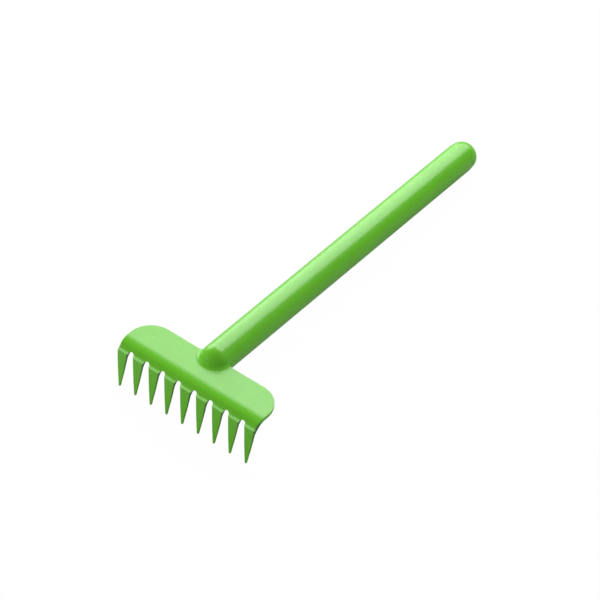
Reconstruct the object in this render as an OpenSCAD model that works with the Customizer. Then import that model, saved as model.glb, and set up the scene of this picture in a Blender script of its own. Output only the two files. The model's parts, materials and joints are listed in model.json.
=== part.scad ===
// Child's sand rake, lying as it rests: tooth tips and the far end of the handle on the ground.
// X runs across the head, Y back along the handle, Z up. The origin is on the ground,
// below the middle of the rake. Sizes are in millimetres, angles in degrees.

/* [Head plate] */
// Width of the head across the teeth
head_w = 100.2; // [84:0.1:130]
// Flat depth of the plate, from its rear edge to the start of the bend
plate_flat = 20.2; // [16:0.1:30]
// Wall thickness of the plate and its bend
plate_t = 2.3; // [1.6:0.1:3]
// Radius of the two rear corners, seen from above
corner_r = 15.2; // [6:0.1:16]

/* [Lip] */
// Outer radius of the bend along the front of the plate
bend_r = 5.1; // [4:0.1:8]
// Slope that the bend reaches before it flares out again
bend_angle = 62; // [50:1:75]
// Radius of the hollow flare between the bend and the ridge
flare_r = 4.9; // [3:0.1:7]
// Slope of the flare where it ends in the ridge
ridge_angle = 24; // [10:1:40]

/* [Teeth] */
// Number of teeth
tooth_count = 9; // [6:1:10]
// Width of a tooth at the ridge
tooth_root_w = 7.6; // [6:0.1:8]
// Width of a tooth at its rounded tip
tooth_tip_w = 1.3; // [0.8:0.1:3]
// Thickness of a tooth from front to back, at the ridge
tooth_root_t = 1.6; // [1.2:0.1:2.6]
// Thickness of a tooth at its tip
tooth_tip_t = 1.2; // [0.8:0.1:1.4]
// Length of a tooth below the ridge
tooth_len = 25.8; // [18:0.1:34]
// How far a tooth's tip stands in front of the ridge
tooth_lean = 2.1; // [0:0.1:4]
// How far the round top of each gap reaches above the ridge
gap_rise = 1.4; // [0.4:0.1:2.4]

/* [Boss] */
// Depth of the handle's axis below the top of the plate
handle_drop = 1.2; // [0:0.1:4]
// Distance from the plate's rear edge back to the centre of the round nose
nose_setback = 0.8; // [0:0.1:4]
// Radius of the blend between the nose and the plate
blend_r = 2.2; // [1:0.1:3]
// Length of the straight shoulder between the nose and the handle tube
shoulder_len = 2.2; // [1:0.1:8]
// Length of the spigot that the handle tube is pushed on to
spigot_len = 26; // [12:1:50]
// Wall thickness of the hollow spigot
spigot_wall = 2; // [1.2:0.1:2.5]

/* [Handle tube] */
// Outer diameter of the handle
handle_d = 18.8; // [16:0.1:24]
// Wall thickness of the handle tube
handle_wall = 2; // [1.2:0.1:2.6]
// Length of the handle tube
handle_len = 228; // [150:0.5:400]

/* [End plug] */
// Step in from the tube's surface to the plug's surface
plug_step = 0.3; // [0.1:0.1:1]
// Length of the plug's straight collar before its dome
plug_collar = 1.2; // [1:0.1:6]
// Length of the stem inside the tube
stem_len = 18; // [8:1:40]
// Wall thickness of the hollow stem
stem_wall = 1.8; // [1.2:0.1:2.5]

/* [Fit] */
// Clearance all round between a stem or spigot and the bore of the tube
fit_gap = 0.05; // [0.02:0.01:0.15]

/* [Hidden] */
$fn = 96;

head_green = [0.42, 0.77, 0.22];
handle_green = [0.45, 0.79, 0.25];

// How far cuts run past the surface that they open
overrun = 1;

// Handle, spigot and plug, from the same diameter
handle_r = handle_d / 2;
tube_bore_r = handle_r - handle_wall;
stem_r = tube_bore_r - fit_gap;
spigot_bore_r = stem_r - spigot_wall;
stem_bore_r = stem_r - stem_wall;
plug_r = handle_r - plug_step;

// Places along the handle, counted back from the plate's rear edge
tube_start = nose_setback + shoulder_len;
tube_end = tube_start + handle_len;
dome_centre = tube_end + plug_collar;

// Side view of the head as points [y, z]: the plate's rear top edge is at zero
function slope_normal(angle) = [-sin(angle), cos(angle)];
bend_centre = [-plate_flat, -bend_r];
bend_end = bend_centre + bend_r * slope_normal(bend_angle);
bend_end_inner = bend_centre + (bend_r - plate_t) * slope_normal(bend_angle);
bend_middle = bend_centre + (bend_r - plate_t / 2) * slope_normal(bend_angle / 2);
flare_centre = bend_end + flare_r * slope_normal(bend_angle);
ridge = flare_centre - flare_r * slope_normal(ridge_angle);
tip_front = ridge - [tooth_lean, tooth_len];
tip_back = tip_front + [tooth_tip_t, 0];
root_back = ridge + [tooth_root_t, 0];

// Where the lip's inner face meets the back of the teeth
inner_run = [-cos(bend_angle), -sin(bend_angle)];
tooth_run = tip_back - root_back;
meet_share = cross(root_back - bend_end_inner, tooth_run) / cross(inner_run, tooth_run);
lip_foot = bend_end_inner + inner_run * meet_share;

// Front view of the teeth: the end teeth are flush with the sides of the plate
tooth_pitch = (head_w - tooth_root_w) / (tooth_count - 1);
ridge_depth = -ridge.y;
tip_depth = -tip_front.y;
tip_r = tooth_tip_w / 2;
taper_share = (tooth_root_w - tooth_tip_w) / 2 / (tooth_len - tip_r);
crown_depth = ridge_depth - gap_rise;
crown_half_w = tooth_root_w / 2 + gap_rise * taper_share;
gap_r = (tooth_pitch / 2 - crown_half_w) / (1 - taper_share);
spring_depth = crown_depth + gap_r;
spring_half_w = tooth_pitch / 2 - gap_r;
head_reach = -tip_front.x;

// The tilt that brings the tips and the end of the tube to the ground together
tube_low_edge = [tube_end, -handle_drop - handle_r];
rest_tilt = atan2(tube_low_edge.y - tip_back.y, tube_low_edge.x - tip_back.x);
function rest_y(p) = p.x * cos(rest_tilt) + p.y * sin(rest_tilt);
function rest_z(p) = p.y * cos(rest_tilt) - p.x * sin(rest_tilt);
ground_z = rest_z(tip_back);
front_y = rest_y(tip_front);
rear_y = rest_y([dome_centre, -handle_drop]) + plug_r;
middle_y = (front_y + rear_y) / 2;

// Puts a piece modelled level, with the plate's rear top edge at zero, in its resting place
module at_rest() {
    translate([0, -middle_y, -ground_z]) rotate([-rest_tilt, 0, 0]) children();
}

// Turns a solid standing on Z to lie along the handle's axis, from a distance along it
module along_handle(start) {
    translate([0, start, -handle_drop]) rotate([-90, 0, 0]) children();
}

// Half ball standing on its flat side
module dome(r) {
    rotate_extrude() intersection() {
        circle(r = r);
        square(r);
    }
}

// Wedge of the bend's ring, from straight up to the slope that the bend reaches
module bend_wedge() {
    side = bend_r + overrun;
    translate(bend_centre)
        polygon([[0, 0], [0, side], [-side, side], side * slope_normal(bend_angle)]);
}

// Side view: flat plate, bend, hollow flare up to the ridge, and the tooth's tapered blade.
// A kite inside the wall joins plate and bend, and the blade starts inside the bend's wall.
module side_profile() {
    plate_middle = [-plate_flat, -plate_t] / 2;
    translate([-plate_flat, -plate_t]) square([plate_flat, plate_t]);
    polygon([plate_middle, [-plate_flat, 0], bend_middle, [-plate_flat, -plate_t]]);
    intersection() {
        translate(bend_centre) difference() {
            circle(r = bend_r);
            circle(r = bend_r - plate_t);
        }
        bend_wedge();
    }
    difference() {
        polygon([
            bend_end_inner, bend_middle, bend_end, flare_centre,
            ridge, tip_front, tip_back, lip_foot
        ]);
        translate(flare_centre) circle(r = flare_r);
    }
}

// Front view of one tooth, from the spring of the gaps down to its round tip
module tooth_outline() {
    polygon([
        [-spring_half_w, -spring_depth], [-tip_r, tip_r - tip_depth],
        [tip_r, tip_r - tip_depth], [spring_half_w, -spring_depth]
    ]);
    translate([0, tip_r - tip_depth]) circle(r = tip_r);
}

// Front view: a band with the round tops of the gaps, and the row of teeth
module front_profile() {
    difference() {
        translate([-head_w / 2, -spring_depth]) square([head_w, spring_depth + overrun]);
        for (i = [0 : tooth_count - 2])
            translate([(i + 1 - tooth_count / 2) * tooth_pitch, -spring_depth]) circle(r = gap_r);
    }
    for (i = [0 : tooth_count - 1])
        translate([(i - (tooth_count - 1) / 2) * tooth_pitch, 0]) tooth_outline();
}

// Plan view: straight front and sides, round rear corners
module plan_profile() {
    inner_w = head_w - 2 * corner_r;
    translate([-head_w / 2, -head_reach - overrun])
        square([head_w, head_reach + overrun - corner_r]);
    translate([-inner_w / 2, -corner_r - overrun]) square([inner_w, corner_r + overrun]);
    for (side = [-1, 1]) translate([side * inner_w / 2, -corner_r]) circle(r = corner_r);
}

module toothed_plate() {
    intersection() {
        translate([-head_w / 2 - overrun, 0, 0])
            rotate([90, 0, 90]) linear_extrude(head_w + 2 * overrun) side_profile();
        translate([0, overrun, 0])
            rotate([90, 0, 0]) linear_extrude(head_reach + 2 * overrun) front_profile();
        translate([0, 0, -tip_depth - overrun])
            linear_extrude(tip_depth + 2 * overrun) plan_profile();
    }
}

// Ring that blends the round nose into a flat face at a height above the nose's centre
module nose_blend(height) {
    ring_r = sqrt(pow(handle_r + blend_r, 2) - pow(height + blend_r, 2));
    touch_share = handle_r / (handle_r + blend_r);
    touch = touch_share * [ring_r, height + blend_r];
    base = height - plate_t / 2;
    rotate_extrude() difference() {
        polygon([[0, base], [ring_r, base], [ring_r, height + blend_r], touch, [0, touch.y]]);
        translate([ring_r, height + blend_r]) circle(r = blend_r);
    }
}

// Both blends, above and below the plate, kept in front of the plate's rear edge
module nose_blends() {
    reach = handle_r + blend_r + overrun;
    intersection() {
        translate([0, nose_setback, -handle_drop]) {
            nose_blend(handle_drop);
            mirror([0, 0, 1]) nose_blend(plate_t - handle_drop);
        }
        translate([-reach, -2 * reach, -reach - handle_drop]) cube([2 * reach, 2 * reach, 2 * reach]);
    }
}

module rake_head() {
    color(head_green) at_rest() difference() {
        union() {
            toothed_plate();
            nose_blends();
            along_handle(nose_setback) mirror([0, 0, 1]) dome(handle_r);
            along_handle(nose_setback) cylinder(r = handle_r, h = shoulder_len);
            along_handle(nose_setback) cylinder(r = stem_r, h = shoulder_len + spigot_len);
        }
        along_handle(nose_setback) mirror([0, 0, 1]) dome(spigot_bore_r);
        along_handle(nose_setback)
            cylinder(r = spigot_bore_r, h = shoulder_len + spigot_len + overrun);
    }
}

module handle_tube() {
    color(handle_green) at_rest() difference() {
        along_handle(tube_start) cylinder(r = handle_r, h = handle_len);
        along_handle(tube_start - overrun) cylinder(r = tube_bore_r, h = handle_len + 2 * overrun);
    }
}

// Domed plug: the collar stops against the end of the tube, the hollow stem holds it inside
module end_plug() {
    color(handle_green) at_rest() difference() {
        union() {
            along_handle(tube_end) cylinder(r = plug_r, h = plug_collar);
            along_handle(dome_centre) dome(plug_r);
            along_handle(tube_end - stem_len) cylinder(r = stem_r, h = stem_len + plug_collar);
        }
        along_handle(tube_end - stem_len - overrun)
            cylinder(r = stem_bore_r, h = stem_len + plug_collar + overrun);
        along_handle(dome_centre) dome(stem_bore_r);
    }
}

rake_head();
handle_tube();
end_plug();
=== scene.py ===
import json
import math

import bmesh
import bpy
import numpy as np
from mathutils import Matrix


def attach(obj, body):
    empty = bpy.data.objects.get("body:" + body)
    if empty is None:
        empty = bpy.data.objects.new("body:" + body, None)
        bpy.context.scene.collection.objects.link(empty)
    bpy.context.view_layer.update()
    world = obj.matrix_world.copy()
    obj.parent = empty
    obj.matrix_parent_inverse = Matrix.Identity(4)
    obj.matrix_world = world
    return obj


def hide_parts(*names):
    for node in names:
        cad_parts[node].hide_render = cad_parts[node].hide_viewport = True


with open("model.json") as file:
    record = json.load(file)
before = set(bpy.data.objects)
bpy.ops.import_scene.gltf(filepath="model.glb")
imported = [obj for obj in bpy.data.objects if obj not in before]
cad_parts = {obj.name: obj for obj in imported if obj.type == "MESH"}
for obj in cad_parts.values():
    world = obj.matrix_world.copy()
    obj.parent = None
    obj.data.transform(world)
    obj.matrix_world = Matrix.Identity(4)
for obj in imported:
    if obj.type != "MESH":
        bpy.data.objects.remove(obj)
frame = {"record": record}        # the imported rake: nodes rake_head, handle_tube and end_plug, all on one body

# Lengths are in millimetres in the rake's own lie: x across the head, y back along the handle, z up from
# the plate, with zero at the middle of the plate's rear top edge. The grip in the record places that lie.
mm = 0.001
weldDistance = 0.0015    # points closer than this become one
turnSteps = 144          # faces round each turned piece
across = np.array((1.0, 0.0, 0.0))
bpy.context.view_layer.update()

grip = next(mount for mount in frame["record"]["mounts"] if mount["name"] == "grip")
handleRadius = grip["dims"]["r_mm"]
handleLength = grip["dims"]["length_mm"]
backward = np.array(grip["axis"]) / np.linalg.norm(grip["axis"])
upward = np.cross(across, backward)

# Where the handle meets the head
joint = {
    "handleDrop": 1.2,       # the handle's axis lies this far below the plate's top
    "noseSetback": 0.8,      # from the plate's rear edge back to the centre of the round nose
    "shoulderLength": 2.2,   # straight shoulder between the nose and the tube
    "tubeWall": 2.0,
    "fitGap": 0.05,          # between the bore and what is pushed into it
    "seamSoftness": 0.06,    # edge rounding on both sides of the seam, small enough to read as a hairline
}
tubeStart = joint["noseSetback"] + joint["shoulderLength"]
tubeEnd = tubeStart + handleLength
boreRadius = handleRadius - joint["tubeWall"]
stemRadius = boreRadius - joint["fitGap"]
tuck = np.array((0, -0.002, -0.005)) * mm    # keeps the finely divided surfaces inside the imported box
home = (np.array(grip["pos_m"]) - backward * (tubeStart + handleLength / 2) * mm
        + upward * joint["handleDrop"] * mm + tuck)


# Points of the rake's own lie, in millimetres, moved to the frame, in metres
def inFrame(points):
    return home + points @ np.array((across, backward, upward)) * mm


# Points on a circle from one angle to another, in degrees, as rows of two coordinates: the centre plus
# the radius times cosine and sine
def arcPath(centre, radius, startAngle, endAngle, count):
    angle = np.radians(np.linspace(startAngle, endAngle, count))
    return np.array(centre) + radius * np.stack((np.cos(angle), np.sin(angle)), axis=-1)


# A corner cut by a quadratic curve, from reach before the corner to reach after it. With t from 0 to 1,
# the start counts (1 - t) squared, the corner twice t times (1 - t), and the end t squared.
def softCorner(before, corner, after, reach, count=7):
    before, corner, after = (np.array(point, float) for point in (before, corner, after))
    start = corner + (before - corner) / np.linalg.norm(before - corner) * reach
    end = corner + (after - corner) / np.linalg.norm(after - corner) * reach
    t = np.linspace(0, 1, count)[:, None]
    return (1 - t) ** 2 * start + 2 * t * (1 - t) * corner + t ** 2 * end


# A mesh object from grids of points, each an array of rows by columns by three, joined where they meet.
# Open ends are closed with flat faces, and the faces are turned outwards.
def pieceFromGrids(name, grids):
    points, quads, start = [], [], 0
    for grid in grids:
        rows, columns = grid.shape[:2]
        index = start + np.arange(rows * columns).reshape(rows, columns)
        corners = (index[:-1, :-1], index[:-1, 1:], index[1:, 1:], index[1:, :-1])
        quads.append(np.stack(corners, axis=-1).reshape(-1, 4))
        points.append(inFrame(grid.reshape(-1, 3)))
        start += rows * columns
    mesh = bpy.data.meshes.new(name)
    mesh.from_pydata(np.concatenate(points).tolist(), [], np.concatenate(quads).tolist())
    shell = bmesh.new()
    shell.from_mesh(mesh)
    bmesh.ops.remove_doubles(shell, verts=shell.verts, dist=weldDistance * mm)
    openEdges = [edge for edge in shell.edges if edge.is_boundary]
    if openEdges:
        bmesh.ops.holes_fill(shell, edges=openEdges)
    bmesh.ops.recalc_face_normals(shell, faces=shell.faces)
    shell.to_mesh(mesh)
    shell.free()
    piece = bpy.data.objects.new(name, mesh)
    bpy.context.scene.collection.objects.link(piece)
    return piece


# Exact union of a piece with other closed pieces, which are then removed
def joinPieces(piece, others):
    for other in others:
        modifier = piece.modifiers.new("union", "BOOLEAN")
        modifier.operation, modifier.solver, modifier.object = "UNION", "EXACT", other
    bpy.context.view_layer.update()
    evaluated = piece.evaluated_get(bpy.context.evaluated_depsgraph_get())
    piece.modifiers.clear()
    oldMesh, piece.data = piece.data, bpy.data.meshes.new_from_object(evaluated)
    bpy.data.meshes.remove(oldMesh)
    for other in others:
        bpy.data.meshes.remove(other.data)
    return piece


# Smooth shading with crisp creases, flat faces kept flat by weighted normals. The angle is in degrees.
def finishShading(piece, creaseAngle=32):
    mesh = piece.data
    mesh.polygons.foreach_set("use_smooth", np.ones(len(mesh.polygons), bool))
    mesh.set_sharp_from_angle(angle=math.radians(creaseAngle))
    modifier = piece.modifiers.new("evenShading", "WEIGHTED_NORMAL")
    modifier.keep_sharp = True


# Report on a mesh: its faces, the edges that don't have two faces, and its volume in cubic millimetres
def describe(piece):
    shell = bmesh.new()
    shell.from_mesh(piece.data)
    loose = sum(1 for edge in shell.edges if len(edge.link_faces) != 2)
    volume = shell.calc_volume(signed=True) / mm ** 3
    print(f"{piece.name}: {len(shell.faces)} faces, {loose} open edges, {volume:.0f} mm3")
    shell.free()


# Surface turned about the handle's axis, from rows of (distance along, radius): x is the radius times
# cosine, and the height above the axis the radius times sine, over a full circle
def turnedGrid(profile):
    turn = (np.arange(turnSteps + 1) + 0.5) * 2 * math.pi / turnSteps
    along, radius = (column[:, None] for column in np.array(profile).T)
    return np.stack((radius * np.cos(turn), along + 0 * turn,
                     radius * np.sin(turn) - joint["handleDrop"]), axis=-1)


# Rake head, all lengths in millimetres
headShape = {
    "width": 100.2,
    "plateFlat": 17.62,      # flat depth, from the rear edge to where the bend sets in
    "plateThickness": 2.3,
    "cornerRadius": 15.2,
    # How steeply the bend falls, as (run past the flat, degrees)
    "bendSlopes": ((0, 0), (5.4, 26), (7.2, 49), (9.45, 49), (10.55, 14), (10.95, 14)),
    "underFlat": 17.6,       # flat depth of the underside
    "underRadius": 8.4,      # hollow of the underside, down to the backs of the teeth
    "underSoftness": 1.0,    # how far from that corner its rounding starts
    "ridgeSoftness": 0.32,   # the same for the ridge
    "toothCount": 9,
    "toothRootWidth": 7.6,
    "toothTipWidth": 1.3,
    "toothRootDepth": 1.6,   # front to back at the ridge
    "toothTipDepth": 1.2,
    "toothLength": 26.03,
    "toothLean": 2.1,        # the tip stands this far in front of the ridge
    "toothBulge": 0.15,      # how far the flanks swell beyond a straight taper
    "gapRise": 1.25,         # the gaps' round tops reach this far above the ridge
    "endDraw": 0.6,          # how far each end of the lip draws in by the ridge
    "endDraft": 0.15,        # share of that draw on the inside
    "endDrawRun": (1.5, 4.5),    # past the flat: where the draw starts, and where it has reached
    "endDrawEarly": 0.3,         # this share
    "endToothDraw": 0.2,     # how far the end teeth stand in below the ridge
    "endToothRun": 3.0,      # and how far below it that is reached
    "edgeRound": 0.3,
    "blendRadius": 3.8,      # hollow blend between the nose and the plate
    "blendSink": 0.004,      # how far the blend sinks into both
    "spigotLength": 26.0,
    "spigotWall": 2.0,
    "spigotLead": 0.8,       # rounding at the spigot's end, outside and inside
    "spigotBoreRound": 0.3,
}
# How finely the head is divided: points along each part of its side view and of a tooth's outline
fineness = {"bend": 801, "hollow": 2000, "softened": 60, "corner": 18, "flat": 4, "bendRows": 22,
            "arch": 15, "flank": 30, "tip": 7, "ridge": 7, "toothColumns": 14, "rim": 5,
            "blendArc": 16, "blendColumns": 120, "ball": 41, "bore": 21}


# Side view of the head sheet as two dense paths of (y, z), from the rear edge to the tooth tip.
# Outside: flat, then a slope that runs straight between the stations of bendSlopes, softened ridge, tooth
# front. Inside: flat, arc, softened corner, tooth back.
def sideView(shape):
    stations, slopes = np.array(shape["bendSlopes"], float).T
    run = np.linspace(0, stations[-1], fineness["bend"])
    slope = np.radians(np.interp(run, stations, slopes))
    steps = -np.stack((np.cos(slope), np.sin(slope)), axis=-1) * (run[1] - run[0])
    sweep = np.concatenate(([(0, 0)], np.cumsum((steps[1:] + steps[:-1]) / 2, axis=0)))
    sweep[:, 0] -= shape["plateFlat"]
    ridge = sweep[-1]
    tipFront = ridge - np.array((shape["toothLean"], shape["toothLength"]))
    tipBack = tipFront + np.array((shape["toothTipDepth"], 0))
    rootBack = ridge + np.array((shape["toothRootDepth"], 0))
    soft, underSoft = shape["ridgeSoftness"], shape["underSoftness"]
    outer = np.concatenate((
        [(0, 0)], sweep[run < run[-1] - soft],
        softCorner(sweep[-2], ridge, tipFront, soft, fineness["softened"]), [tipFront]))
    underCentre = np.array((-shape["underFlat"], -shape["plateThickness"] - shape["underRadius"]))
    arc = arcPath(underCentre, shape["underRadius"], 90, 180, fineness["hollow"])
    arc = arc[arc[:, 0] > rootBack[0] + (tipBack[0] - rootBack[0])
              * (arc[:, 1] - rootBack[1]) / (tipBack[1] - rootBack[1])]
    corner, before = arc[-1], arc[-fineness["hollow"] // 10]    # the arc's end, and a point well before it
    inner = np.concatenate((
        [(0, -shape["plateThickness"])], arc[np.linalg.norm(arc - corner, axis=1) > underSoft],
        softCorner(before, corner, tipBack, underSoft, fineness["softened"]), [tipBack]))
    return outer, inner, ridge, tipFront


outerPath, innerPath, ridge, tipFront = sideView(headShape)
pitch = (headShape["width"] - headShape["toothRootWidth"]) / (headShape["toothCount"] - 1)
rootHalf = headShape["toothRootWidth"] / 2
tipRadius = headShape["toothTipWidth"] / 2
ridgeDepth, tipDepth = -ridge[1], -tipFront[1]
crownDepth = ridgeDepth - headShape["gapRise"]
matchDepth = crownDepth - 2 * headShape["edgeRound"]    # from here down, front and back pair up by depth


# Distance down the sheet for every point of a side path: along the flat it is the depth of the plate,
# round the bend a share of the bend's run, and from matchDepth down it grows with the drop alone
def sheetDistance(path, bendRun):
    run = np.concatenate(([0], np.cumsum(np.linalg.norm(np.diff(path, axis=0), axis=1))))
    drop = -path[:, 1]
    toMatch = np.interp(matchDepth, drop[1:], run[1:])
    flat = headShape["plateFlat"]
    bend = flat + bendRun * (run - run[1]) / (toMatch - run[1])
    fall = flat + bendRun + drop - matchDepth
    return np.where(np.arange(len(path)) == 0, 0, np.where(drop < matchDepth, bend, fall))


outerRun = np.cumsum(np.linalg.norm(np.diff(outerPath, axis=0), axis=1))
bendRun = np.interp(matchDepth, -outerPath[1:, 1], outerRun) - headShape["plateFlat"]
outerDistance, innerDistance = sheetDistance(outerPath, bendRun), sheetDistance(innerPath, bendRun)


# Distance down the sheet of a depth below the plate's top, past matchDepth
def distanceOf(depth):
    return headShape["plateFlat"] + bendRun + depth - matchDepth


# Points of the sheet's outside or inside over x and the distance down the sheet. The ends draw in
# towards the ridge, most at the very end and not at all from the middle of the end tooth on, and less
# on the inside, so that the end walls lean and show from above.
def onSheet(x, distance, path, pathDistance):
    x, distance = np.broadcast_arrays(x, distance)
    half, ridgeAt, most = headShape["width"] / 2, distanceOf(ridgeDepth), headShape["endDraw"]
    start, turn = (headShape["plateFlat"] + run for run in headShape["endDrawRun"])
    draw = np.interp(distance, (start, turn, ridgeAt, ridgeAt + headShape["endToothRun"]),
                     (0, most * headShape["endDrawEarly"], most, headShape["endToothDraw"]))
    draw *= 1 if path is outerPath else headShape["endDraft"]
    x = x - np.sign(x) * draw * np.clip((np.abs(x) - (half - rootHalf)) / rootHalf, 0, 1)
    return np.stack((x, np.interp(distance, pathDistance, path[:, 0]),
                     np.interp(distance, pathDistance, path[:, 1])), axis=-1)


spareAngle = 0.05    # radians: an even row of the arch that is closer than this to a marked one is left out


# Half of a tooth's outline, from the top of the gap beside it to the tip: half widths and distances of
# the true outline, and of the outline one edge rounding further in. The gap's round top is tangent to
# the flank, and the flank to the round tip. Between them the flank swells by toothBulge times the square
# of a sine. The arch also has a row of its inset line at each of the marked depths.
def toothOutline(shape, markedDepths):
    edge, reach = shape["edgeRound"], tipDepth - tipRadius - ridgeDepth
    taper = ((rootHalf * reach - math.sqrt((rootHalf * reach) ** 2
             - (reach ** 2 - tipRadius ** 2) * (rootHalf ** 2 - tipRadius ** 2)))
             / (reach ** 2 - tipRadius ** 2))
    slant = math.atan(taper)
    gapRadius = (pitch / 2 - rootHalf - taper * shape["gapRise"]) / (math.hypot(1, taper) - taper)
    arch = crownDepth + gapRadius
    even = np.linspace(0, math.pi / 2 - slant, fineness["arch"])
    marked = np.arccos((arch - markedDepths) / (gapRadius + edge))
    spare = np.abs(even[1:-1, None] - marked).min(axis=1) > spareAngle
    turn = np.sort(np.concatenate((even[:1], even[1:-1][spare], even[-1:], marked)))
    archHalf, archDrop = pitch / 2 - gapRadius * np.sin(turn), arch - gapRadius * np.cos(turn)
    archIn = np.stack((-np.sin(turn), -np.cos(turn)))
    tipTurn = np.linspace(slant, math.pi / 2, fineness["tip"])
    tipHalf, tipDrop = tipRadius * np.cos(tipTurn), tipDepth - tipRadius + tipRadius * np.sin(tipTurn)
    tipIn = np.stack((-np.cos(tipTurn), -np.sin(tipTurn)))
    share = np.linspace(0, 1, fineness["flank"])[1:-1]
    swell = shape["toothBulge"] * np.sin(math.pi * share) ** 2
    flankHalf = archHalf[-1] + (tipHalf[0] - archHalf[-1]) * share + swell
    flankDrop = archDrop[-1] + (tipDrop[0] - archDrop[-1]) * share
    slope = np.gradient(flankHalf, flankDrop)
    flankIn = np.stack((-np.ones_like(slope), slope)) / np.hypot(1, slope)
    half = np.concatenate((archHalf, flankHalf, tipHalf))
    drop = np.concatenate((archDrop, flankDrop, tipDrop))
    inward = edge * np.concatenate((archIn, flankIn, tipIn), axis=1)
    return (half, distanceOf(drop)), (half + inward[0], distanceOf(drop + inward[1])), len(turn), taper


ridgeSpan = np.linspace(-1, 1, fineness["ridge"]) * headShape["ridgeSoftness"]
trueLine, insetLine, archCount, taper = toothOutline(headShape, ridgeDepth + ridgeSpan)


# The sheet with its teeth: the outside, the inside and the rounded rim between them, as grids
def headSheetGrids(shape):
    edge, half, corner = shape["edgeRound"], shape["width"] / 2, shape["cornerRadius"]
    centres = (np.arange(shape["toothCount"]) - (shape["toothCount"] - 1) / 2) * pitch
    trueHalf, trueDistance = trueLine
    insetHalf, insetDistance = insetLine

    # The end teeth's outer side: straight below the plate's side, then the same taper as a flank
    fall = np.maximum(insetDistance - distanceOf(ridgeDepth), 0)
    endSlope = -taper * (fall > 0)
    endInset = rootHalf - taper * fall - edge * np.hypot(1, endSlope)
    endTrue = endInset + edge / np.hypot(1, endSlope)
    endTrueDistance = insetDistance - edge * endSlope / np.hypot(1, endSlope)
    endInset[archCount:], endTrue[archCount:] = insetHalf[archCount:], trueHalf[archCount:]
    endTrueDistance[archCount:] = trueDistance[archCount:]

    # Rows of the plate and its bend: half widths and distances, true and inset
    swing = np.radians(np.linspace(90, 0, fineness["corner"]))
    cornerRows = np.stack((half - corner + np.outer((corner, corner - edge), np.cos(swing)),
                           corner - np.outer((corner, corner - edge), np.sin(swing))))
    straight = np.concatenate((
        np.linspace(corner, shape["plateFlat"], fineness["flat"])[1:],
        np.linspace(shape["plateFlat"], insetDistance[0], fineness["bendRows"])[1:]))
    plateTrue = np.concatenate((cornerRows[:, 0], (half + 0 * straight, straight)), axis=1)
    plateInset = np.concatenate((cornerRows[:, 1], (half - edge + 0 * straight, straight)), axis=1)

    # Columns of each tooth's strip, and of the plate above them all
    share = np.linspace(0, 1, fineness["toothColumns"] + 1)
    strips, sides = [], []
    for number, centre in enumerate(centres):
        left = centre - (endInset if number == 0 else insetHalf)
        right = centre + (endInset if number == shape["toothCount"] - 1 else insetHalf)
        strips.append(left[:, None] + (right - left)[:, None] * share)
    plateColumns = np.concatenate([strip[0] for strip in strips])
    plateColumns = plateColumns[np.append(True, np.diff(plateColumns) > edge / 10)]    # no column twice
    plateX = plateInset[0][:, None] * plateColumns / (half - edge)

    surfaces = []
    for path, pathDistance in ((outerPath, outerDistance), (innerPath, innerDistance)):
        surfaces.append(onSheet(plateX, plateInset[1][:, None], path, pathDistance))
        surfaces += [onSheet(strip, insetDistance[:, None], path, pathDistance) for strip in strips]

    # The rim follows the rear edge, both sides down to the tips of the end teeth, and every gap
    rearX = plateX[0]
    sides.append(((rearX, 0 * rearX), (rearX, 0 * rearX + edge)))
    for side, centre in ((-1, centres[0]), (1, centres[-1])):
        sides.append(((np.append(side * plateTrue[0], (centre + side * endTrue)[1:]),
                       np.append(plateTrue[1], endTrueDistance[1:])),
                      (np.append(side * plateInset[0], (centre + side * endInset)[1:]),
                       np.append(plateInset[1], insetDistance[1:]))))
    for before, after in zip(centres[:-1], centres[1:]):
        sides.append(((np.append((before + trueHalf)[::-1], (after - trueHalf)[1:]),
                       np.append(trueDistance[::-1], trueDistance[1:])),
                      (np.append((before + insetHalf)[::-1], (after - insetHalf)[1:]),
                       np.append(insetDistance[::-1], insetDistance[1:]))))
    rims = [rimGrid(trueEdge, insetEdge, edge) for trueEdge, insetEdge in sides]
    return surfaces + rims


# Rounded rim along an edge: a quarter turn off the outside, the straight wall, and a quarter turn on to
# the inside. Each quarter is start + side * sin(turn) + wall * (1 - cos(turn)).
def rimGrid(trueEdge, insetEdge, edge):
    outerIn, outerOut = (onSheet(*line, outerPath, outerDistance) for line in (insetEdge, trueEdge))
    innerIn, innerOut = (onSheet(*line, innerPath, innerDistance) for line in (insetEdge, trueEdge))
    wall = innerOut - outerOut
    wall *= edge / np.linalg.norm(wall, axis=-1, keepdims=True)
    turn = np.linspace(0, math.pi / 2, fineness["rim"] + 1)[:, None, None]
    outerQuarter = outerIn + (outerOut - outerIn) * np.sin(turn) + wall * (1 - np.cos(turn))
    innerQuarter = innerIn + (innerOut - innerIn) * np.sin(turn) - wall * (1 - np.cos(turn))
    return np.concatenate((outerQuarter, innerQuarter[::-1]))


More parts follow.
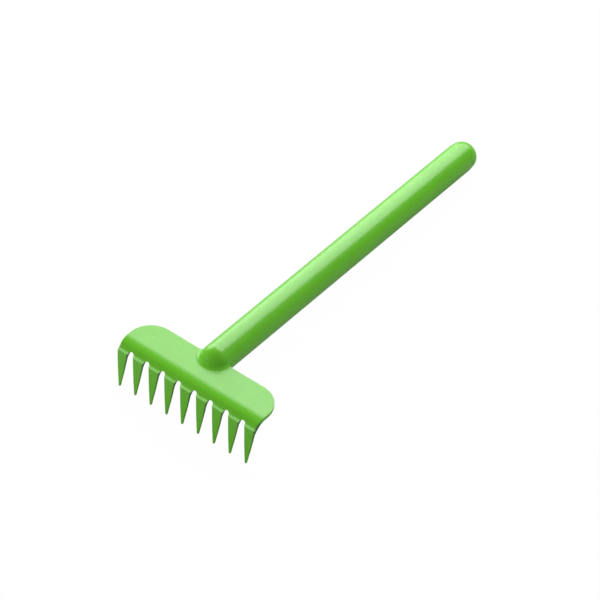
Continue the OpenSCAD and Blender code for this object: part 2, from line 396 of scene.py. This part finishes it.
# Hollow blend between the nose and one face of the plate, as a closed ring that ends at the rear edge.
# A circle of blendRadius rests on the face and the ball; its arc is turned about the upright through
# the nose's centre, each ring as far as the rear edge lets it, and closed by a path inside the head.
def blendRing(shape, height, side):
    blend, sink = shape["blendRadius"], shape["blendSink"]
    rise = height + blend - sink
    spread = math.sqrt((handleRadius + blend - sink) ** 2 - rise ** 2)
    leanIn = 180 + math.degrees(math.atan2(rise, spread))
    arc = arcPath((spread, rise), blend, leanIn, 270, fineness["blendArc"])
    deepIn, deepDown = arc[0, 0] - 2 * blend, height - sink - shape["plateThickness"] / 2
    inside = [(spread, deepDown), (deepIn, deepDown), (deepIn, arc[0, 1] - blend / 4), arc[0]]
    distance, lift = (column[:, None] for column in np.concatenate((arc, inside)).T)
    limit = np.arccos((joint["noseSetback"] + 2 * sink) / distance)
    turn = np.linspace(-1, 1, fineness["blendColumns"] + 1) * limit
    return np.stack((distance * np.sin(turn), joint["noseSetback"] - distance * np.cos(turn),
                     side * lift - joint["handleDrop"] + 0 * turn), axis=-1)


# Ball nose, shoulder and hollow spigot, as (distance along, radius) from the ball's front to the bore's:
# quarter circles about the nose's centre, joined by straight runs
def noseProfile(shape):
    centre, soft = (joint["noseSetback"], 0), joint["seamSoftness"]
    spigotEnd = tubeStart + shape["spigotLength"]
    bore = stemRadius - shape["spigotWall"]
    return np.concatenate((
        arcPath(centre, handleRadius, 180, 90, fineness["ball"]),
        softCorner(centre[:1] + (handleRadius,), (tubeStart, handleRadius), (tubeStart, stemRadius), soft),
        [(tubeStart, stemRadius)],
        softCorner((tubeStart, stemRadius), (spigotEnd, stemRadius), (spigotEnd, bore),
                   shape["spigotLead"]),
        softCorner((spigotEnd, stemRadius), (spigotEnd, bore), (tubeStart, bore),
                   shape["spigotBoreRound"]),
        arcPath(centre, bore, 90, 180, fineness["bore"])))


sheet = pieceFromGrids("rakeHead", headSheetGrids(headShape))
describe(sheet)
nose = pieceFromGrids("nose", [turnedGrid(noseProfile(headShape))])
describe(nose)
topBlend = pieceFromGrids("topBlend", [blendRing(headShape, joint["handleDrop"], 1)])
describe(topBlend)
lowBlend = pieceFromGrids("lowBlend", [
    blendRing(headShape, headShape["plateThickness"] - joint["handleDrop"], -1)])
describe(lowBlend)
rakeHead = joinPieces(sheet, [nose, topBlend, lowBlend])


# Painted shade on the side walls of the lip and the gaps, where light is scarce
paintedWallShade = {
    "belowRidge": (20.0, 3.0),       # mm: no painted shade at the first depth, all of it at the second
    "behindEdge": (-23.0, -21.0),    # mm: all the painted shade in front of the first place, none behind the second
    "steepness": 2.2,                # the painted shade grows this fast with the sideways share of the normal
    "start": 0.5,                    # and this much comes off it
}


# Attribute of painted shade: how much a wall point gets. Steepness times the sideways share of its
# normal, less the start, held between 0 and 1, times both fades.
def paintWallShade(piece, walls):
    mesh = piece.data
    places, normals = (np.empty(3 * len(mesh.vertices)) for _ in range(2))
    mesh.vertices.foreach_get("co", places)
    mesh.vertices.foreach_get("normal", normals)
    place, normal = places.reshape(-1, 3) - home, normals.reshape(-1, 3)
    behind, above = place @ backward / mm, place @ upward / mm
    fade = np.interp(above, [ridge[1] - depth for depth in walls["belowRidge"]], (0, 1))
    fade *= np.interp(behind, walls["behindEdge"], (1, 0))
    deep = np.clip(np.abs(normal[:, 0]) * walls["steepness"] - walls["start"], 0, 1) * fade
    mesh.attributes.new("deep", "FLOAT", "POINT").data.foreach_set("value", deep)


# Painted shade on the head's side walls, kept as a point attribute
paintWallShade(rakeHead, paintedWallShade)
finishShading(rakeHead)
describe(rakeHead)

# Handle tube
tubeShape = {
    "farEdgeRound": 0.25,    # outer edge at the end plug's step
    "boreEdgeRound": 0.3,
}


# Straight tube as a closed loop of (distance along, radius): outside and bore, with softened corners
def tubeProfile(shape):
    corners = [(tubeStart, boreRadius), (tubeStart, handleRadius),
               (tubeEnd, handleRadius), (tubeEnd, boreRadius)]
    soft = [shape["boreEdgeRound"], joint["seamSoftness"], shape["farEdgeRound"], shape["boreEdgeRound"]]
    loop = [softCorner(corners[i - 1], corners[i], corners[(i + 1) % 4], soft[i]) for i in range(4)]
    return np.concatenate(loop + [loop[0][:1]])


handleTube = pieceFromGrids("handleTube", [turnedGrid(tubeProfile(tubeShape))])
finishShading(handleTube)
describe(handleTube)

# End plug
plugShape = {
    "step": 0.3,             # in from the tube's surface
    "collar": 1.2,           # straight part before the dome
    "domeSquareness": 2.4,   # 2 is a half ball, more is flatter with fuller shoulders
    "domeTuck": 0.06,        # how much shorter than its radius the dome is, for its fuller shoulders
    "stepRound": 0.05,
    "stemLength": 18.0,
    "stemWall": 1.8,
    "stemLead": 0.8,         # rounding at the stem's end, outside and inside
    "stemBoreRound": 0.3,
}


# Domed plug with a hollow stem, as (distance along, radius). The dome is a quarter of the curve on which
# the shares of its reach and of its radius, each to the power of domeSquareness, add up to one.
def plugProfile(shape):
    radius, bore = handleRadius - shape["step"], stemRadius - shape["stemWall"]
    domeCentre, stemStart = (tubeEnd + shape["collar"], 0), tubeEnd - shape["stemLength"]
    quarter = np.radians(np.linspace(0, 90, fineness["ball"]))
    power, reach = 2 / shape["domeSquareness"], radius - shape["domeTuck"]
    dome = np.stack((domeCentre[0] + reach * np.cos(quarter) ** power,
                     radius * np.sin(quarter) ** power), axis=-1)
    return np.concatenate((
        dome,
        softCorner((domeCentre[0], radius), (tubeEnd, radius), (tubeEnd, stemRadius),
                   shape["stepRound"], 4),
        [(tubeEnd, stemRadius)],
        softCorner((tubeEnd, stemRadius), (stemStart, stemRadius), (stemStart, bore), shape["stemLead"]),
        softCorner((stemStart, stemRadius), (stemStart, bore), (tubeEnd, bore), shape["stemBoreRound"]),
        arcPath(domeCentre, bore, 90, 0, fineness["bore"])))


endPlug = pieceFromGrids("endPlug", [turnedGrid(plugProfile(plugShape))])
finishShading(endPlug)
describe(endPlug)


# A socket of a shader tree. Sums and products of sockets and numbers add Math nodes.
class Wire:
    def __init__(self, tree, socket=None):
        self.tree, self.socket = tree, socket

    # Any node: its type, its settings, then the values or links of its sockets; one output comes back
    def node(self, kind, settings=None, inputs=None, output=0):
        made = self.tree.nodes.new("ShaderNode" + kind)
        for name, value in (settings or {}).items():
            setattr(made, name, value)
        for name, value in (inputs or {}).items():
            if isinstance(value, Wire):
                self.tree.links.new(value.socket, made.inputs[name])
            else:
                made.inputs[name].default_value = value
        return Wire(self.tree, made.outputs[output] if made.outputs else None)

    def math(self, operation, first, second):
        return self.node("Math", {"operation": operation}, {0: first, 1: second})

    def __add__(self, other):
        return self.math("ADD", self, other)

    def __sub__(self, other):
        return self.math("SUBTRACT", self, other)

    def __rsub__(self, other):
        return self.math("SUBTRACT", other, self)

    def __mul__(self, other):
        return self.math("MULTIPLY", self, other)

    __radd__, __rmul__ = __add__, __mul__


# A new material's tree, empty but for its output
def newTree(name):
    material = bpy.data.materials.new(name)
    material.use_nodes = True
    material.node_tree.nodes.clear()
    return material, Wire(material.node_tree)


# Satin plastic, colours linear, sizes in millimetres
plasticLook = {
    "green": (0.116, 0.495, 0.002),
    "paleGreen": (0.131, 0.555, 0.005),   # where the colour flowed thinner
    "flowSize": 18.0,                     # size of that cloudy variation
    "cloudFineness": 5,                   # the finer clouds are this many times smaller
    "roughness": 0.29,
    "cloudRoughness": 0.07,               # how much the finer clouds vary it
    "grainRoughness": 0.04,               # and the grain
    "grainSize": 0.35,                    # of the satin grain
    "grainHeight": 0.012,
    "ior": 1.49,
    "shine": 0.75,                        # share of gloss, where 0.5 is the plain one of that index
    "scuffSize": (0.5, 7.0),              # width and length of the scuffs along the handle
    "scuffStart": 0.56,                   # noise above this is scuffed
    "scuffRoughness": 0.8,
    "scuffDepth": 0.03,
    "deepGreen": (0.02, 0.12, 0.002),     # painted shade on the side walls
    "deepShare": 0.95,
    "wornGreen": (0.31, 0.78, 0.18),      # painted sheen, paler along the ridge where it catches the light
    "wornLine": (0.45, 0.3),              # middle of that line, behind and above the ridge
    "wornReach": 0.95,                    # distance at which it has lost the fade given below
    "wornCore": 1.3,                      # painted sheen in the middle of the line, before it is held to the most below
    "wornFade": 0.9,
    "wornPatches": 0.9,                   # how much the finer clouds break it up
    "wornMost": 0.9,
    # roughness added along the painted sheen line
    "wornRoughness": 0.12,
    "markDepth": 0.06,                    # of the moulding marks
    "markSlope": 0.35,                    # width of their sloping edge
}
# Round moulding marks, as (centre in the rake's lie, radius): four ejector marks under the plate, and
# the gate mark in the middle of the domed end
mouldMarks = [((x, -9.5, -headShape["plateThickness"]), 2.6) for x in (-38, -20, 20, 38)]
mouldMarks.append(((0, tubeEnd + plugShape["collar"] + handleRadius - plugShape["step"],
                    -joint["handleDrop"]), 1.4))


# Height of the moulding marks: one inside each circle, none outside, a smooth step between
def markHeight(tree, place, slope):
    total = 0.0
    for centre, radius in mouldMarks:
        middle = inFrame(np.array(centre))
        away = tree.node("VectorMath", {"operation": "DISTANCE"}, {0: place, 1: middle}, output=1)
        total = tree.node("MapRange", {"interpolation_type": "SMOOTHSTEP"}, {
            "Value": away, "From Min": (radius - slope) * mm, "From Max": radius * mm,
            "To Min": 1.0, "To Max": 0.0}) + total
    return total


# Noise on the piece's own coordinates, with features of a size in millimetres
def noise(tree, place, size, detail):
    return tree.node("TexNoise", inputs={"Vector": place, "Scale": 1 / (size * mm), "Detail": detail})


# One colour turning into another by a share
def mixColours(tree, share, first, second):
    first = first if isinstance(first, Wire) else first + (1,)
    return tree.node("Mix", {"data_type": "RGBA"}, {0: share, 6: first, 7: second + (1,)}, output=2)


# Painted sheen along the ridge, where the flare catches the light: the core less its fade with the distance
# from the line, give or take the clouds, held between none and the most
def paintRidgeSheen(tree, place, cloud, look):
    fromLine = tree.node("VectorMath", {"operation": "SUBTRACT"}, {
        0: place, 1: inFrame(np.append(0, ridge + look["wornLine"]))})
    behind, above = (tree.node("VectorMath", {"operation": "DOT_PRODUCT"}, {0: fromLine, 1: way}, output=1)
                     for way in (backward, upward))
    reach = tree.math("SQRT", behind * behind + above * above, 0.0) * (1 / (look["wornReach"] * mm))
    sheen = look["wornCore"] - reach * look["wornFade"] + (cloud - 0.5) * look["wornPatches"]
    return tree.math("MINIMUM", tree.math("MAXIMUM", sheen, 0.0), look["wornMost"])


def satinPlastic(name, look):
    material, tree = newTree(name)
    place = tree.node("TexCoord", output="Object")
    flow = noise(tree, place, look["flowSize"], 3.0)
    cloud = noise(tree, place, look["flowSize"] / look["cloudFineness"], 4.0)
    grain = noise(tree, place, look["grainSize"], 2.0)
    narrow, long = (1 / (size * mm) for size in look["scuffSize"])
    streak = tree.node("Mapping", inputs={"Vector": place, "Scale": (narrow, long, narrow)})
    scuff = tree.node("TexNoise", inputs={"Vector": streak, "Scale": 1.0, "Detail": 3.0})
    scuff = tree.math("MAXIMUM", scuff - look["scuffStart"], 0.0)
    # Painted shade on the side walls, read from the head's attribute
    deep = tree.node("Attribute", {"attribute_name": "deep"}, output=2)
    # Painted sheen along the ridge, also a little rougher there
    ridgeSheen = paintRidgeSheen(tree, place, cloud, look)
    colour = mixColours(tree, flow, look["green"], look["paleGreen"])
    colour = mixColours(tree, deep * look["deepShare"], colour, look["deepGreen"])
    colour = mixColours(tree, ridgeSheen, colour, look["wornGreen"])
    roughness = (look["roughness"] + (cloud - 0.5) * look["cloudRoughness"]
                 + (grain - 0.5) * look["grainRoughness"]
                 + scuff * look["scuffRoughness"] + ridgeSheen * look["wornRoughness"])
    height = (grain * look["grainHeight"] - markHeight(tree, place, look["markSlope"]) * look["markDepth"]
              - scuff * look["scuffDepth"])
    bump = tree.node("Bump", inputs={"Height": height, "Distance": mm, "Strength": 1.0})
    surface = tree.node("BsdfPrincipled", inputs={
        "Base Color": colour, "Roughness": roughness, "Normal": bump,
        "IOR": look["ior"], "Specular IOR Level": look["shine"]})
    tree.node("OutputMaterial", inputs={"Surface": surface})
    return material


headPlastic = satinPlastic("satinHeadPlastic", plasticLook)
handlePlastic = satinPlastic("satinHandlePlastic", plasticLook)
for piece, node, slotName, material in (
        (rakeHead, "rake_head", "head_plastic", headPlastic),
        (handleTube, "handle_tube", "handle_plastic", handlePlastic),
        (endPlug, "end_plug", "handle_plastic", handlePlastic)):
    piece.data.materials.clear()
    piece.data.materials.append(material)
    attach(piece, "root")
    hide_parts(node)
print("pieces placed")

# Studio
studio = {
    "floorSize": 8.0,            # metres
    "floorGrey": 0.45,
    "floorGlow": 0.95,           # share of plain white in what the camera sees of the floor
    "floorShine": 0.05,          # the same for gloss and glass
    "white": 1.03,               # strength of that white, a little over 1 to make up for the lit share
    "worldLight": 0.26,
    "worldShine": 0.05,          # share of plain white in what gloss and glass see of the world
    "target": (0.0, -0.09, 0.02),    # metres, what the lamps face
}
# Each lamp stands at a compass angle from +x towards +y and a height angle, both in degrees, at a
# distance and with a size in metres. The fills aren't mirrored in the plastic.
lamps = {
    "keyBehind": {"compass": 103, "height": 40, "distance": 1.5, "size": (1.2, 1.3), "radiance": 3.65},
    "lowBehind": {"compass": 150, "height": 20, "distance": 1.7, "size": (1.3, 1.1), "radiance": 3.5},
    "rightFill": {"compass": 20, "height": 40, "distance": 1.5, "size": (1.4, 1.0), "radiance": 1.1,
                  "mirrored": False},
    "frontFill": {"compass": 222, "height": 12, "distance": 1.5, "size": (1.6, 0.8), "radiance": 3.5,
                  "mirrored": False},
}


# Shader that turns a share of plain white for the camera, and another share for gloss and glass
def whiteForCamera(tree, lit, white, glow, shine):
    camera = tree.node("LightPath", output="Is Camera Ray")
    gloss = tree.node("LightPath", output="Is Glossy Ray")
    glass = tree.node("LightPath", output="Is Transmission Ray")
    share = tree.math("MAXIMUM", camera * glow, tree.math("MAXIMUM", gloss, glass) * shine)
    return tree.node("MixShader", inputs={0: share, 1: lit, 2: white})


# Floor that catches the shadow and looks white
def makeFloor():
    half = studio["floorSize"] / 2
    mesh = bpy.data.meshes.new("floor")
    corners = [(-half, -half, 0), (half, -half, 0), (half, half, 0), (-half, half, 0)]
    mesh.from_pydata(corners, [], [(0, 1, 2, 3)])
    floor = bpy.data.objects.new("floor", mesh)
    bpy.context.scene.collection.objects.link(floor)
    material, tree = newTree("paleFloor")
    grey = studio["floorGrey"]
    lit = tree.node("BsdfDiffuse", inputs={"Color": (grey, grey, grey, 1)})
    white = tree.node("Emission", inputs={"Color": (1, 1, 1, 1), "Strength": studio["white"]})
    shader = whiteForCamera(tree, lit, white, studio["floorGlow"], studio["floorShine"])
    tree.node("OutputMaterial", inputs={"Surface": shader})
    mesh.materials.append(material)


# World that lights plainly and looks white
def makeWorld():
    world = bpy.data.worlds.new("paleRoom")
    bpy.context.scene.world = world
    world.use_nodes = True
    world.node_tree.nodes.clear()
    tree = Wire(world.node_tree)
    lit = tree.node("Background", inputs={"Color": (1, 1, 1, 1), "Strength": studio["worldLight"]})
    white = tree.node("Background", inputs={"Color": (1, 1, 1, 1), "Strength": 1.0})
    tree.node("OutputWorld", inputs={"Surface": whiteForCamera(tree, lit, white, 1.0, studio["worldShine"])})


# Soft lamp that faces the rake; its watts follow from the radiance that a surface facing it sees
def makeLamp(name, lamp):
    light = bpy.data.lights.new(name, "AREA")
    light.shape = "RECTANGLE"
    light.size, light.size_y = lamp["size"]
    light.energy = lamp["radiance"] * math.pi * lamp["size"][0] * lamp["size"][1]
    holder = bpy.data.objects.new(name, light)
    bpy.context.scene.collection.objects.link(holder)
    holder.visible_glossy = lamp.get("mirrored", True)
    compass, height = math.radians(lamp["compass"]), math.radians(lamp["height"])
    direction = np.array((math.cos(compass) * math.cos(height), math.sin(compass) * math.cos(height),
                          math.sin(height)))
    sideways = np.cross((0, 0, 1), direction)
    sideways /= np.linalg.norm(sideways)
    steep = np.cross(direction, sideways)
    place = np.eye(4)
    place[:3, 0], place[:3, 1], place[:3, 2] = sideways, steep, direction
    place[:3, 3] = np.array(studio["target"]) + direction * lamp["distance"]
    holder.matrix_world = Matrix(place.tolist())


makeFloor()
makeWorld()
for lampName, lamp in lamps.items():
    makeLamp(lampName, lamp)
print("studio lit")

# Camera
viewpoint = {
    "turn": 38.590,          # degrees from the front towards the right end
    "height": 46.863,        # degrees above the ground
    "roll": -0.012,
    "distance": 1.8,         # metres from the aim
    "aimRight": 47.136,      # mm in the picture's plane, from the middle of the plate's rear edge
    "aimUp": 32.624,
    "lens": 192.27,          # mm
    "sensor": 36,            # mm
}


# Camera that looks at a point beside and above the plate's rear edge, in the picture's own directions
def makeCamera(look):
    turn, height, roll = (math.radians(look[key]) for key in ("turn", "height", "roll"))
    right = np.array((math.cos(turn), math.sin(turn), 0))
    toCamera = np.array((math.sin(turn) * math.cos(height), -math.cos(turn) * math.cos(height),
                         math.sin(height)))
    above = np.cross(toCamera, right)
    aim = home + (right * look["aimRight"] + above * look["aimUp"]) * mm
    rolledRight = right * math.cos(roll) + above * math.sin(roll)
    rolledUp = above * math.cos(roll) - right * math.sin(roll)
    place = np.eye(4)
    place[:3, 0], place[:3, 1], place[:3, 2] = rolledRight, rolledUp, toCamera
    place[:3, 3] = aim + toCamera * look["distance"]
    lens = bpy.data.cameras.new("camera")
    lens.lens, lens.sensor_width = look["lens"], look["sensor"]
    camera = bpy.data.objects.new("camera", lens)
    bpy.context.scene.collection.objects.link(camera)
    camera.matrix_world = Matrix(place.tolist())
    bpy.context.scene.camera = camera


makeCamera(viewpoint)
bpy.context.scene.view_settings.view_transform = "Standard"
print("camera set")
